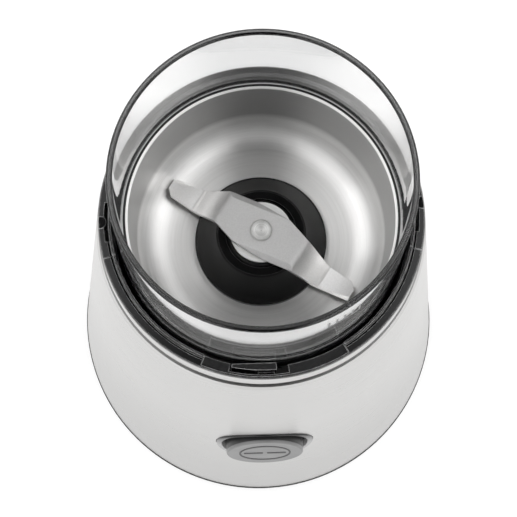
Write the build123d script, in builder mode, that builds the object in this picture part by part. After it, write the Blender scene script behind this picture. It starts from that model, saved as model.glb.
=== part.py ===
"""Electric spice grinder: steel-sleeved motor base, lift-out bowl with a clear collar, spinning blade.

Millimetres, +Z up. The origin is the middle of the footprint, on the surface the feet stand on.
The run button faces -Y and the cord inlet faces +Y.
"""
import os
from math import atan, cos, degrees, radians, sin

from build123d import *

os.makedirs("parts", exist_ok=True)

# ---- clearances ---------------------------------------------------------------------------
running = 0.05          # radial, shaft in its bush
sliding = 0.25          # radial, hand-operated pieces and covers
loose = 0.4             # radial, bowl in its well
seam = 0.15             # visible joint between two mouldings
air_gap = 0.5           # radial, armature in its stator

# ---- radii, from the clear collar outwards ------------------------------------------------
collar_foot_r = 37.0    # clear collar, outside, at the lock ring
collar_flare = 0.5
collar_rim_r = collar_foot_r + collar_flare
collar_wall = 1.6
well_r = collar_foot_r + loose
well_wall = 1.0
lip_step = 0.7          # the lock ring opens a little wider than the well below it
lip_r = well_r + lip_step
ring_width = 3.2
land_edge_r = lip_r + ring_width
band_step = 0.2
band_r = land_edge_r + band_step
shoulder_step = 0.8
shell_top_r = band_r + shoulder_step
shell_flare = 9.0       # how much wider the sleeve is at its foot
shell_base_r = shell_top_r + shell_flare

# ---- base cover, feet and screws ----------------------------------------------------------
foot_drop = 1.5         # how far the feet stand below the base cover
cover_floor = 2.2
cover_edge = 2.0        # height of the dark edge under the sleeve
cover_lip = 0.2         # how far the cover's edge stands proud of the sleeve
cover_bevel = 1.0
cover_upstand = 7.0
cover_wall = 1.8
vent_count = 12
vent_inner_r = 19.0
vent_outer_r = 27.0
vent_width = 2.4
foot_r = 5.5
foot_inset = 13.3
foot_pcd = 2 * (shell_base_r - foot_inset)
foot_height = 3.0
foot_chamfer = 0.6
column_r = 3.6
column_gap = 1.85       # between a column's top and the sleeve beside it
screw_head_r = 2.6
screw_head_height = 1.6
screw_shank_r = 1.3
screw_length = 9.0
screw_tip_gap = 0.5     # left in a screw hole beyond the screw's end

# ---- motor --------------------------------------------------------------------------------
motor_shaft_r = 2.5
shaft_foot_gap = 6.8    # from the base cover up to the end of the motor shaft
shaft_end = 1.0         # how far the shaft stands out of its lower bearing
bearing_r = 6.0
bearing_height = 4.5
bearing_wall = 2.0
bracket_thickness = 2.0
bracket_to_commutator = 4.0
commutator_r = 9.0
commutator_height = 9.0
commutator_bars = 12
bar_slot_depth = 1.6
bar_slot_width = 0.5
winding_r = 12.8
winding_round = 1.4
winding_overhang = 4.0
stator_x = 54.0
stator_y = 44.0
stator_round = 6.0
stator_height = 22.0
stator_bore_r = 16.0
core_slot_length = 7.0
core_slot_width = 2.0
coil_inner_x = 13.9
coil_outer_x = 20.1
coil_slot_inner_y = 12.0
coil_slot_outer_y = 18.5
coil_gap = 0.3
coil_overhang = 4.3
coil_round = 3.0
leg_width = 5.0
leg_inset = 0.5         # from the stator's side to the bracket leg's side
leg_y = 8.0
leg_height = 6.5
bracket_y = 30.0
bracket_round = 5.0
bracket_bore_gap = 1.5  # between the motor shaft and the hole it passes through
bracket_vent_x = 24.0   # between the middles of the upper bracket's air slots
bracket_vent_y = 22.0
bracket_vent_length = 12.0
bracket_vent_width = 4.0
bracket_vent_round = 1.5
fan_gap = 3.5           # between the upper bearing and the fan
fan_r = 24.0
fan_height = 8.5
fan_disc = 1.2
fan_blades = 9
fan_blade_width = 1.2
fan_blade_turn = 12.0
fan_hub_r = 6.5
fan_headroom = 5.0
brush_width = 4.0
brush_height = 6.0
brush_length = 13.0
brush_lead = 2.0        # how far a brush stands out of its holder
brush_gap = 0.15
holder_wall = 1.0
holder_length = 11.0
holder_slack = 0.2
holder_foot_inset = 1.0
mount_height = 3.0
mount_r = 4.2
post_gap = 6.0          # from the fan's rim to the middle of a motor post, along X
post_x = fan_r + post_gap
post_y = 10.0
post_r = 3.6
bracket_x = 2 * (post_x + bracket_round)

# ---- heights, from the table up to the bowl well ------------------------------------------
shell_bottom_z = foot_drop + cover_edge
cover_top_z = foot_drop + cover_floor
upstand_top_z = shell_bottom_z + cover_upstand
shaft_foot_z = cover_top_z + shaft_foot_gap
lower_bearing_z = shaft_foot_z + shaft_end
lower_bracket_z = lower_bearing_z + bearing_height
commutator_z = lower_bracket_z + bracket_to_commutator
winding_bottom_z = commutator_z + commutator_height
stator_bottom_z = winding_bottom_z + winding_overhang
stator_top_z = stator_bottom_z + stator_height
upper_bracket_z = stator_top_z + leg_height
upper_bearing_z = upper_bracket_z + bracket_thickness
fan_z = upper_bearing_z + bearing_height + fan_gap
well_floor = 2.0
well_underside_z = fan_z + fan_height + fan_headroom
well_floor_z = well_underside_z + well_floor
well_depth = 29.5
shell_top_z = well_floor_z + well_depth
flange_thickness = 1.7
flange_top_z = shell_top_z + flange_thickness
ring_rise = 7.8
ring_top_z = flange_top_z + ring_rise
collar_height = 39.0    # clear collar above the lock ring
collar_rim_z = ring_top_z + collar_height

# ---- steel sleeve, neck band and well -----------------------------------------------------
shell_wall = 0.7
shell_lip = 1.5         # inward roll at the top of the sleeve
shell_round = 0.5
shell_round_height = 1.2
band_wall = 0.6
band_gap = 1.2          # dark groove between the band and the flange under it
flange_step = 0.3       # how far the flange lies behind the band's face
flange_r = band_r - flange_step
spout_r = 5.4           # raised lip around the drive hole
spout_wall = 1.2
spout_height = 1.2
tab_width = 8.0

# ---- lid lock ring ------------------------------------------------------------------------
lip_wall = 0.8
lip_height = 1.4
edge_break = 0.2
land_edge_height = 0.7
land_fall = 0.25        # the land drops this much towards its outer edge
groove_width = 0.6
groove_depth = 0.7
seam_left_angle = 193.2     # degrees from +X, where the two halves of the ring meet
seam_right_angle = -13.2
gap_start_angle = 246.4     # lowered front gap that lets the lid's tongue in
gap_end_angle = 300.6
gap_drop = 1.0
slot_mid_angles = (0.7, 180.0)
detent_angles = (4.2, 180.0)
slot_half_angle = 7.4
slot_step = 0.05        # from the lip's outer face to the side slots
slot_inner_r = lip_r + lip_wall + slot_step
slot_width = 1.0
slot_depth = 5.0
detent_r = 1.6
detent_offset = 0.95    # how far the detent's centre lies outside the slot's outer wall
key_start_angle = 256.4     # the interlock key's window in the front gap
key_end_angle = 278.2

# ---- drive dogs ---------------------------------------------------------------------------
dog_count = 6
dog_root_r = 4.4
dog_tip_r = 6.4
dog_width = 2.4
dog_height = 3.8
dog_clearance = 0.25
dog_cap = 0.8           # solid top of the driving dog, over the motor shaft
dog_chamfer = 0.4
socket_r = 8.6
socket_step = 2.0
socket_shoulder = 1.0
socket_lift = 0.6       # the socket's mouth starts this much above the dog's foot
socket_headroom = 0.4
socket_grip = 2.2       # length of the socket on the blade shaft
drive_gap = 0.6         # between the raised lip of the well and the drive dog
dog_bottom_z = well_floor_z + spout_height + drive_gap
dog_top_z = dog_bottom_z + dog_height
socket_bottom_z = dog_bottom_z + socket_lift
socket_ceiling_z = dog_top_z + socket_headroom
socket_top_z = socket_ceiling_z + socket_grip

# ---- bowl ---------------------------------------------------------------------------------
shaft_r = 3.0
bush_gap = 0.4          # between the drive socket and the bush above it
bush_r = 5.5
hub_tube_height = 1.6
hub_tube_wall = 2.4
deck_thickness = 2.2
cup_wall = 0.6
bush_bottom_z = socket_top_z + bush_gap
deck_bottom_z = bush_bottom_z + hub_tube_height
cup_underside_z = deck_bottom_z + deck_thickness
cup_floor_z = cup_underside_z + cup_wall
cup_rise = 1.0          # the cup's rim above the lock ring
cup_rim_z = ring_top_z + cup_rise
collar_overlap = 10.0   # clear collar below the lock ring's top
collar_bottom_z = ring_top_z - collar_overlap
rim_gap = 0.9           # filled by the seal between the cup's rim and the collar
cup_rim_r = collar_foot_r - collar_wall - rim_gap
cup_lean = 2.5
cup_crease_r = cup_rim_r - cup_lean
cup_corner_width = 9.0
cup_corner_r = cup_crease_r - cup_corner_width
cup_corner_height = 7.5
cup_crease_z = cup_floor_z + cup_corner_height
cup_hole_r = 9.0
seal_height = 1.6
seal_gap = 0.02
rib_overlap = 0.3       # how far each rib runs into the skirt
boss_foot_r = 17.25
boss_top_r = 11.2
boss_height = 9.8
boss_flange = 1.9       # upright edge of the boss where it meets the cup's floor
boss_bevel = 0.5
boss_bevel_height = 0.4
boss_pocket_r = 9.2
boss_pocket_depth = 3.2
boss_top_z = cup_floor_z + boss_height
bush_top_z = boss_top_z - boss_pocket_depth
shaft_seal_drop = 0.8   # from the boss's top down to the seal
shaft_seal_bevel = 0.8
shaft_seal_lip = 1.6
skirt_step = 0.2
skirt_r = collar_foot_r - skirt_step
skirt_wall = 1.8
skirt_inner_r = skirt_r - skirt_wall
rib_count = 6
rib_width = 1.6
rib_height = 4.0
rib_start_r = socket_r + loose
bowl_screw_pcd = 26.0
bowl_screw_r = 1.0
bowl_screw_head_r = 2.0
bowl_screw_head = 1.4
bowl_screw_chamfer = 0.4
bowl_screw_cover = 5.0  # from the boss's top down to the end of each screw hole

# ---- blade --------------------------------------------------------------------------------
blade_thickness = 1.3
blade_drop = 9.1        # how far the wings hang below the centre plate
blade_angle = -33.5     # degrees from +X
blade_tip_x = 27.8
tip_lead_y = 2.0        # the tip's sharp corner, on the cutting side
tip_trail_y = 2.7
tip_corner = 1.6
bend_outer_x = 18.7
outer_lead_y = 3.4
outer_trail_y = 3.1
bend_inner_x = 11.4
inner_lead_y = 5.1
inner_trail_y = 4.2
blade_mid_y = 6.2       # half the width of the centre plate
mid_lead_x = 4.5
mid_trail_x = 5.0
bend_radius = 2.2       # of the blade's middle line
plate_grind_width = 1.5
plate_grind_drop = 1.0
wing_grind_width = 0.9
wing_grind_drop = 0.6
wing_grind_end = 0.8    # where the wing's ground edge runs out, short of the bend
grind_lead = 0.15       # share of its length by which each grind starts before its heel
disc_r = 8.0
disc_gap = 0.5          # between the boss and the disc that turns above it
disc_thickness = 0.8
disc_step = 2.6
disc_spacer = 0.4       # raised middle of the disc, which the blade sits on
disc_bottom_z = boss_top_z + disc_gap
blade_z = disc_bottom_z + disc_thickness + disc_spacer
blade_top_z = blade_z + blade_thickness
wing_top_z = blade_top_z - blade_drop
peen_r = 2.8
peen_height = 0.8
peen_round = 0.3
dimple_r = 2.2
dimple_depth = 0.9

# ---- interlock ----------------------------------------------------------------------------
interlock_travel = 2.0
rod_gap = 0.3
rod_r = 0.9
interlock_y = well_r + well_wall + rod_gap + rod_r
key_heel_step = 0.3     # the key's face leans in towards the collar from its left end
key_nose_reach = 0.6
key_width = 1.15
key_left_r = lip_r + key_heel_step
key_right_r = lip_r - key_nose_reach
key_outer_r = lip_r + key_width
key_slot_width = 0.9    # open behind the key
key_side_angle = 0.8    # between the key's left end and its window
key_right_angle = 273.8
key_rise = 0.4          # the key's top above the lock ring's land
key_height = 4.8
key_arm_height = 1.6
arm_start_angle = 267.0     # the arm that joins the key to its rod
arm_end_angle = 273.0
arm_side_angle = 1.2    # left free on each side of the arm
key_top_z = ring_top_z + key_rise
key_bottom_z = key_top_z - key_height
shoulder_r = 1.9
shoulder_height = 1.2
shoulder_gap = 0.2
guide_drop = 6.7        # from the well's floor down to the guide plate
guide_plate = 1.2
guide_side = 1.2
guide_plate_z = well_underside_z - guide_drop
interlock_switch_x = 12.8
interlock_switch_y = 5.8
interlock_switch_height = 6.5
interlock_switch_gap = 0.8
interlock_side_gap = 0.1
rod_reach = 1.0         # how far the key's rod stands in its switch
rod_end_gap = 1.0       # left below the rod when the key is down
interlock_hole_depth = rod_reach + interlock_travel + rod_end_gap
key_wire_r = 0.25
key_spring_turns = 3
switch_top_z = guide_plate_z - interlock_switch_gap
switch_underside_z = switch_top_z - interlock_switch_height

# ---- run button and its switch ------------------------------------------------------------
bezel_r = 13.3
bezel_proud = 0.4
bezel_land = 0.5        # width of the bezel's rim, outside its dish
bezel_dish = 2.4        # depth of the dish at the button, below the sleeve's surface
button_gap = 0.5        # radial, between the button and its bezel
button_drop = 2.7       # between the interlock switch and the bezel below it
button_z = switch_underside_z - button_drop - bezel_r
button_r = 10.6
button_lean = 6.5       # degrees, how far the button's face leans back to look upwards
button_travel = 2.5
button_proud = 1.9      # how far the cap stands out of the sleeve
button_round = 0.5
cap_wall = 1.6
cap_clearance = 2.0
bezel_depth = 7.5       # from the sleeve's face to the back of the bezel
bracket_plate = 1.1
bracket_margin = 1.0
bracket_flange = 8.0
switch_x = 27.8
switch_z = 10.3
switch_gap = 1.1        # between the switch's terminals and the stator behind them
switch_round = 1.0
plunger_r = 1.3
plunger_hole_depth = 6.5
plunger_reach = 3.4
stem_r = 2.4
stem_length = 0.6
terminal_pitch = 8.0
terminal_width = 0.8
terminal_height = 4.5
terminal_length = 1.0
spring_wire_r = 0.35
spring_gap = 0.05       # between a spring's end and what it pushes on
button_spring_step = 1.2
button_spring_turns = 4

# ---- cord inlet and capacitor -------------------------------------------------------------
inlet_rise = 8.5
inlet_z = upstand_top_z + inlet_rise
inlet_seat_out = 0.5    # the inlet's flanges, each side of the sleeve's curved wall
inlet_seat_in = 1.9
inlet_bore_r = 3.2
inlet_neck_r = 4.6
inlet_flange_r = 6.0
inlet_flange = 0.9
capacitor_x = 18.0
capacitor_width = 9.0
capacitor_height = 13.0
capacitor_round = 1.0
capacitor_inset = 18.3
capacitor_y = shell_base_r - capacitor_inset


def shell_radius(z):
    """Outside radius of the conical steel sleeve at height z."""
    share = (z - shell_bottom_z) / (shell_top_z - shell_bottom_z)
    return shell_base_r + (shell_top_r - shell_base_r) * share


def collar_radius(z):
    """Outside radius of the clear collar, which widens a little towards its rim."""
    share = (z - ring_top_z) / (collar_rim_z - ring_top_z)
    return collar_foot_r + (collar_rim_r - collar_foot_r) * share


column_pcd = 2 * (shell_radius(well_floor_z) - shell_wall - column_gap - column_r)
button_lean_cos = cos(radians(button_lean))
button_lean_sin = sin(radians(button_lean))
switch_room = shell_radius(button_z) - bezel_depth - bracket_plate - stator_y / 2
switch_y = switch_room - terminal_length - switch_gap
button_face = Plane(origin=(0, -shell_radius(button_z), button_z), x_dir=(1, 0, 0),
                    z_dir=(0, -button_lean_cos, button_lean_sin))


def turned(points, mode=Mode.ADD):
    """Revolve a closed outline of (radius, height) points about Z in the open part."""
    with BuildSketch(Plane.XZ) as outline:
        with BuildLine():
            Polyline(*points, close=True)
        make_face()
    revolve(outline.sketch, axis=Axis.Z, mode=mode)


def tube(outer_r, inner_r, bottom, top, mode=Mode.ADD):
    """Add a ring of square section between two heights to the open part."""
    turned([(inner_r, bottom), (outer_r, bottom), (outer_r, top), (inner_r, top)], mode=mode)


def sector(start, end, radius, bottom, top, mode):
    """Add, cut or keep a pie slice from one angle to another, in degrees, in the open part."""
    middle = (start + end) / 2
    reach = radius / cos(radians((end - start) / 2))
    with BuildSketch(Plane.XY.offset(bottom)) as slice_face:
        with BuildLine():
            corners = [(0, 0)]
            for angle in (start, middle, end):
                corners.append((reach * 2 * cos(radians(angle)), reach * 2 * sin(radians(angle))))
            Polyline(*corners, close=True)
        make_face()
    extrude(slice_face.sketch, amount=top - bottom, mode=mode)


# ==== base: outer pieces ===================================================================
cover_inside_r = shell_radius(shell_bottom_z) - shell_wall - sliding
cover_inside_top_r = shell_radius(shell_bottom_z + cover_upstand) - shell_wall - sliding
foot_recess = foot_height - foot_drop

with BuildPart() as base_cover:
    turned([
        (0, foot_drop),
        (shell_base_r + cover_lip - cover_bevel, foot_drop),
        (shell_base_r + cover_lip, foot_drop + cover_bevel),
        (shell_base_r + cover_lip, shell_bottom_z),
        (cover_inside_r, shell_bottom_z),
        (cover_inside_top_r, upstand_top_z),
        (cover_inside_top_r - cover_wall, upstand_top_z),
        (cover_inside_r - cover_wall, cover_top_z),
        (0, cover_top_z),
    ])
    with BuildSketch(Plane.XY.offset(foot_drop)):
        with PolarLocations(foot_pcd / 2, 4):
            Circle(foot_r + seam)
    extrude(amount=foot_recess, mode=Mode.SUBTRACT)
    with BuildSketch(Plane.XY.offset(foot_drop)):
        with PolarLocations(column_pcd / 2, 4, start_angle=45):
            Circle(screw_head_r + sliding)
    extrude(amount=screw_head_height, mode=Mode.SUBTRACT)
    with BuildSketch(Plane.XY.offset(foot_drop)):
        with PolarLocations(column_pcd / 2, 4, start_angle=45):
            Circle(screw_shank_r + sliding)
        with PolarLocations((vent_inner_r + vent_outer_r) / 2, vent_count):
            SlotOverall(vent_outer_r - vent_inner_r, vent_width)
    extrude(amount=cover_floor, mode=Mode.SUBTRACT)
base_cover.part.label = "base_cover"
export_step(base_cover.part, "parts/base_cover.step")

with BuildPart() as rubber_feet:
    with BuildSketch(Plane.XY):
        with PolarLocations(foot_pcd / 2, 4):
            Circle(foot_r)
    extrude(amount=foot_height)
    chamfer(rubber_feet.edges().group_by(Axis.Z)[0], length=foot_chamfer)
rubber_feet.part.label = "rubber_feet"
export_step(rubber_feet.part, "parts/rubber_feet.step")

screw_seat_z = foot_drop + screw_head_height
with BuildPart() as base_screws:
    with BuildSketch(Plane.XY.offset(foot_drop)):
        with PolarLocations(column_pcd / 2, 4, start_angle=45):
            Circle(screw_head_r)
    extrude(amount=screw_head_height)
    with BuildSketch(Plane.XY.offset(screw_seat_z)):
        with PolarLocations(column_pcd / 2, 4, start_angle=45):
            Circle(screw_shank_r)
    extrude(amount=screw_length)
base_screws.part.label = "base_screws"
export_step(base_screws.part, "parts/base_screws.step")

shoulder_z = shell_top_z - shell_round_height
with BuildPart() as steel_shell:
    turned([
        (shell_base_r, shell_bottom_z),
        (shell_radius(shoulder_z), shoulder_z),
        (shell_top_r - shell_round, shell_top_z),
        (shell_top_r - shell_lip, shell_top_z),
        (shell_top_r - shell_lip, shell_top_z - shell_wall),
        (shell_radius(shoulder_z) - shell_wall, shoulder_z - shell_wall),
        (shell_base_r - shell_wall, shell_bottom_z),
    ])
    with BuildSketch(button_face):
        Circle(bezel_r + seam)
    extrude(amount=bezel_r, both=True, mode=Mode.SUBTRACT)
    with BuildSketch(Plane.XZ.offset(-shell_base_r)):
        with Locations((0, inlet_z)):
            Circle(inlet_neck_r)
    extrude(amount=shell_base_r, mode=Mode.SUBTRACT)
steel_shell.part.label = "steel_shell"
export_step(steel_shell.part, "parts/steel_shell.step")

land_edge_z = ring_top_z - land_edge_height
with BuildPart() as neck_band:
    tube(band_r, band_r - band_wall, flange_top_z + band_gap, land_edge_z)
neck_band.part.label = "neck_band"
export_step(neck_band.part, "parts/neck_band.step")

# ==== base: bowl well with the motor posts =================================================
well_outer_r = well_r + well_wall
column_bottom_z = cover_top_z
post_bottom_z = upper_bracket_z + bracket_thickness + mount_height
rod_hole_r = rod_r + running
tab_reach = shell_radius(well_floor_z) - shell_wall - loose

with BuildPart() as bowl_well:
    turned([
        (spout_r - spout_wall, well_underside_z),
        (well_outer_r, well_underside_z),
        (well_outer_r, shell_top_z),
        (flange_r, shell_top_z),
        (flange_r, flange_top_z),
        (well_r, flange_top_z),
        (well_r, well_floor_z),
        (spout_r, well_floor_z),
        (spout_r, well_floor_z + spout_height),
        (spout_r - spout_wall, well_floor_z + spout_height),
    ])
    with BuildSketch(Plane.XY.offset(column_bottom_z)):
        with PolarLocations(column_pcd / 2, 4, start_angle=45):
            Circle(column_r)
    extrude(amount=well_floor_z - column_bottom_z)
    with BuildSketch(Plane.XY.offset(post_bottom_z)):
        with GridLocations(2 * post_x, 2 * post_y, 2, 2):
            Circle(post_r)
    extrude(amount=well_floor_z - post_bottom_z)
    with BuildSketch(Plane.XY.offset(well_underside_z)):
        with Locations((0, -(well_r + tab_reach) / 2)):
            Rectangle(tab_width, tab_reach - well_r)
    extrude(amount=well_floor)
    with BuildSketch(Plane.XY.offset(column_bottom_z)):
        with PolarLocations(column_pcd / 2, 4, start_angle=45):
            Circle(screw_shank_r)
    extrude(amount=screw_length, mode=Mode.SUBTRACT)
    with BuildSketch(Plane.XY.offset(post_bottom_z)):
        with GridLocations(2 * post_x, 2 * post_y, 2, 2):
            Circle(screw_shank_r)
    extrude(amount=screw_length, mode=Mode.SUBTRACT)
    with BuildSketch(Plane.XY.offset(well_underside_z)):
        with Locations((0, -interlock_y)):
            Circle(rod_hole_r)
    extrude(amount=flange_top_z - well_underside_z, mode=Mode.SUBTRACT)
bowl_well.part.label = "bowl_well"
export_step(bowl_well.part, "parts/bowl_well.step")

# ==== base: lid lock ring, in two halves that meet at the seams ============================
ring_body_r = band_r - band_wall - seam
ring_foot_z = flange_top_z
gap_z = ring_top_z - gap_drop
lip_top_z = ring_top_z + lip_height
key_window_outer_r = key_outer_r + key_slot_width


def ring_blank():
    """The whole lock ring before its slots: body, outer land, groove and raised inner lip."""
    turned([
        (lip_r, ring_foot_z),
        (ring_body_r, ring_foot_z),
        (ring_body_r, land_edge_z),
        (land_edge_r, land_edge_z),
        (land_edge_r, ring_top_z - land_fall - edge_break),
        (land_edge_r - edge_break, ring_top_z - land_fall),
        (lip_r + lip_wall + groove_width, ring_top_z),
        (lip_r + lip_wall, ring_top_z - groove_depth),
        (lip_r + lip_wall, lip_top_z - edge_break),
        (lip_r + lip_wall - edge_break, lip_top_z),
        (lip_r + edge_break, lip_top_z),
        (lip_r, lip_top_z - edge_break),
    ])


def arc_slot(start, end, inner_r, outer_r, bottom, top, mode=Mode.SUBTRACT):
    """Cut or add a curved bar of square section that follows the ring."""
    with BuildSketch(Plane.XY.offset(bottom)) as slot_face:
        with BuildLine():
            near = CenterArc((0, 0), inner_r, start, end - start)
            far = CenterArc((0, 0), outer_r, start, end - start)
            Line(near @ 0, far @ 0)
            Line(near @ 1, far @ 1)
        make_face()
    extrude(slot_face.sketch, amount=top - bottom, mode=mode)


seam_turn = degrees(seam / 2 / land_edge_r)
with BuildPart() as lock_ring_rear:
    ring_blank()
    slot_outer_r = slot_inner_r + slot_width
    for mid_angle in slot_mid_angles:
        arc_slot(mid_angle - slot_half_angle, mid_angle + slot_half_angle, slot_inner_r, slot_outer_r,
                 ring_top_z - slot_depth, lip_top_z)
    with BuildSketch(Plane.XY.offset(ring_top_z - slot_depth)):
        for detent_angle in detent_angles:
            with PolarLocations(slot_outer_r + detent_offset, 1, start_angle=detent_angle):
                Circle(detent_r)
    extrude(amount=slot_depth)
    tube(shell_base_r, ring_body_r, ring_foot_z, land_edge_z, mode=Mode.SUBTRACT)
    tube(shell_base_r, land_edge_r, ring_foot_z, lip_top_z, mode=Mode.SUBTRACT)
    sector(seam_left_angle - seam_turn, seam_right_angle + 360 + seam_turn, land_edge_r, ring_foot_z,
           lip_top_z, Mode.SUBTRACT)
lock_ring_rear.part.label = "lock_ring_rear"
export_step(lock_ring_rear.part, "parts/lock_ring_rear.step")

with BuildPart() as lock_ring_front:
    ring_blank()
    arc_slot(gap_start_angle, gap_end_angle, well_r, ring_body_r, gap_z, lip_top_z)
    arc_slot(key_start_angle, key_end_angle, well_r, key_window_outer_r, ring_foot_z, ring_top_z)
    arc_slot(arm_start_angle - arm_side_angle, arm_end_angle + arm_side_angle, well_r, ring_body_r,
             ring_foot_z, key_bottom_z + key_arm_height + sliding)
    sector(seam_left_angle + seam_turn, seam_right_angle + 360 - seam_turn, land_edge_r, ring_foot_z,
           lip_top_z, Mode.INTERSECT)
lock_ring_front.part.label = "lock_ring_front"
export_step(lock_ring_front.part, "parts/lock_ring_front.step")

# ==== bowl =================================================================================

with BuildPart() as clear_collar:
    collar_bottom_r = collar_radius(collar_bottom_z)
    rim_round = collar_wall / 2
    with BuildSketch(Plane.XZ):
        with BuildLine():
            Polyline(
                (collar_rim_r - collar_wall, collar_rim_z - rim_round),
                (collar_bottom_r - collar_wall, collar_bottom_z),
                (collar_bottom_r, collar_bottom_z),
                (collar_rim_r, collar_rim_z - rim_round),
            )
            ThreePointArc(
                (collar_rim_r, collar_rim_z - rim_round),
                (collar_rim_r - rim_round, collar_rim_z),
                (collar_rim_r - collar_wall, collar_rim_z - rim_round),
            )
        make_face()
    revolve(axis=Axis.Z)
clear_collar.part.label = "clear_collar"
export_step(clear_collar.part, "parts/clear_collar.step")

with BuildPart() as steel_cup:
    with BuildSketch(Plane.XZ):
        with BuildLine():
            Polyline((cup_hole_r, cup_floor_z), (cup_corner_r, cup_floor_z))
            TangentArc((cup_corner_r, cup_floor_z), (cup_crease_r, cup_crease_z), tangent=(1, 0))
            Polyline(
                (cup_crease_r, cup_crease_z),
                (cup_rim_r - cup_wall, cup_rim_z - edge_break),
                (cup_rim_r - cup_wall + edge_break, cup_rim_z),
                (cup_rim_r, cup_rim_z),
                (cup_crease_r + cup_wall, cup_crease_z),
            )
            TangentArc((cup_corner_r, cup_underside_z), (cup_crease_r + cup_wall, cup_crease_z),
                       tangent=(1, 0))
            Polyline((cup_corner_r, cup_underside_z), (cup_hole_r, cup_underside_z),
                     (cup_hole_r, cup_floor_z))
        make_face()
    revolve(axis=Axis.Z)
    with BuildSketch(Plane.XY.offset(cup_underside_z)):
        with PolarLocations(bowl_screw_pcd / 2, 3):
            Circle(bowl_screw_r + seam)
    extrude(amount=cup_wall, mode=Mode.SUBTRACT)
steel_cup.part.label = "steel_cup"
export_step(steel_cup.part, "parts/steel_cup.step")

with BuildPart() as cup_seal:
    seal_z = cup_rim_z - seal_height
    tube(collar_radius(seal_z) - collar_wall - seal_gap, cup_rim_r, seal_z, cup_rim_z)
cup_seal.part.label = "cup_seal"
export_step(cup_seal.part, "parts/cup_seal.step")

with BuildPart() as hub_boss:
    turned([
        (bush_r, cup_underside_z),
        (cup_hole_r - seam, cup_underside_z),
        (cup_hole_r - seam, cup_floor_z),
        (boss_foot_r, cup_floor_z),
        (boss_foot_r, cup_floor_z + boss_flange - boss_bevel_height),
        (boss_foot_r - boss_bevel, cup_floor_z + boss_flange),
        (boss_top_r + boss_bevel, boss_top_z - boss_bevel_height),
        (boss_top_r, boss_top_z),
        (boss_pocket_r, boss_top_z),
        (boss_pocket_r, bush_top_z),
        (bush_r, bush_top_z),
    ])
    with BuildSketch(Plane.XY.offset(cup_floor_z)):
        with PolarLocations(bowl_screw_pcd / 2, 3):
            Circle(bowl_screw_r)
    extrude(amount=boss_height - bowl_screw_cover, mode=Mode.SUBTRACT)
hub_boss.part.label = "hub_boss"
export_step(hub_boss.part, "parts/hub_boss.step")

with BuildPart() as bowl_base:
    turned([
        (bush_r, bush_bottom_z),
        (bush_r + hub_tube_wall, bush_bottom_z),
        (bush_r + hub_tube_wall, deck_bottom_z),
        (skirt_inner_r, deck_bottom_z),
        (skirt_inner_r, well_floor_z),
        (skirt_r, well_floor_z),
        (skirt_r, collar_bottom_z),
        (skirt_inner_r, collar_bottom_z),
        (skirt_inner_r, cup_underside_z),
        (bush_r, cup_underside_z),
    ])
    with BuildSketch(Plane.XY.offset(deck_bottom_z)):
        with PolarLocations((skirt_inner_r + rib_start_r) / 2, rib_count, start_angle=30):
            Rectangle(skirt_inner_r - rib_start_r + 2 * rib_overlap, rib_width)
    extrude(amount=-rib_height)
    with BuildSketch(Plane.XY.offset(deck_bottom_z)):
        with PolarLocations(bowl_screw_pcd / 2, 3):
            Circle(bowl_screw_r + seam)
    extrude(amount=deck_thickness, mode=Mode.SUBTRACT)
bowl_base.part.label = "bowl_base"
export_step(bowl_base.part, "parts/bowl_base.step")

with BuildPart() as bowl_screws:
    with BuildSketch(Plane.XY.offset(deck_bottom_z)):
        with PolarLocations(bowl_screw_pcd / 2, 3):
            Circle(bowl_screw_head_r)
    extrude(amount=-bowl_screw_head)
    with BuildSketch(Plane.XY.offset(deck_bottom_z)):
        with PolarLocations(bowl_screw_pcd / 2, 3):
            Circle(bowl_screw_r)
    extrude(amount=boss_top_z - bowl_screw_cover - screw_tip_gap - deck_bottom_z)
    chamfer(bowl_screws.edges().group_by(Axis.Z)[0], length=bowl_screw_chamfer)
bowl_screws.part.label = "bowl_screws"
export_step(bowl_screws.part, "parts/bowl_screws.step")

with BuildPart() as bowl_bush:
    tube(bush_r, shaft_r + running, bush_bottom_z, bush_top_z)
bowl_bush.part.label = "bowl_bush"
export_step(bowl_bush.part, "parts/bowl_bush.step")

with BuildPart() as shaft_seal:
    seal_top_z = boss_top_z - shaft_seal_drop
    turned([
        (shaft_r + running, bush_top_z),
        (boss_pocket_r, bush_top_z),
        (boss_pocket_r, seal_top_z - shaft_seal_bevel),
        (boss_pocket_r - shaft_seal_bevel, seal_top_z),
        (shaft_r + shaft_seal_lip, seal_top_z),
        (shaft_r + running, seal_top_z - shaft_seal_bevel),
    ])
shaft_seal.part.label = "shaft_seal"
export_step(shaft_seal.part, "parts/shaft_seal.step")

# ==== blade and its drive socket ===========================================================
peen_top_z = blade_top_z + peen_height
with BuildPart() as blade_shaft:
    with BuildSketch(Plane.XY.offset(socket_ceiling_z)):
        Circle(shaft_r)
    extrude(amount=disc_bottom_z - socket_ceiling_z)
    with BuildSketch(Plane.XY.offset(disc_bottom_z)):
        Circle(peen_r)
    extrude(amount=peen_top_z - disc_bottom_z)
    chamfer(blade_shaft.edges().group_by(Axis.Z)[-1], length=peen_round)
    turned([(0, peen_top_z - dimple_depth), (dimple_r, peen_top_z), (0, peen_top_z)],
           mode=Mode.SUBTRACT)
blade_shaft.part.label = "blade_shaft"
export_step(blade_shaft.part, "parts/blade_shaft.step")

with BuildPart() as hub_disc:
    tube(disc_r, peen_r, disc_bottom_z, disc_bottom_z + disc_thickness)
    tube(disc_r - disc_step, peen_r, disc_bottom_z + disc_thickness, blade_z)
hub_disc.part.label = "hub_disc"
export_step(hub_disc.part, "parts/hub_disc.step")


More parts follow.
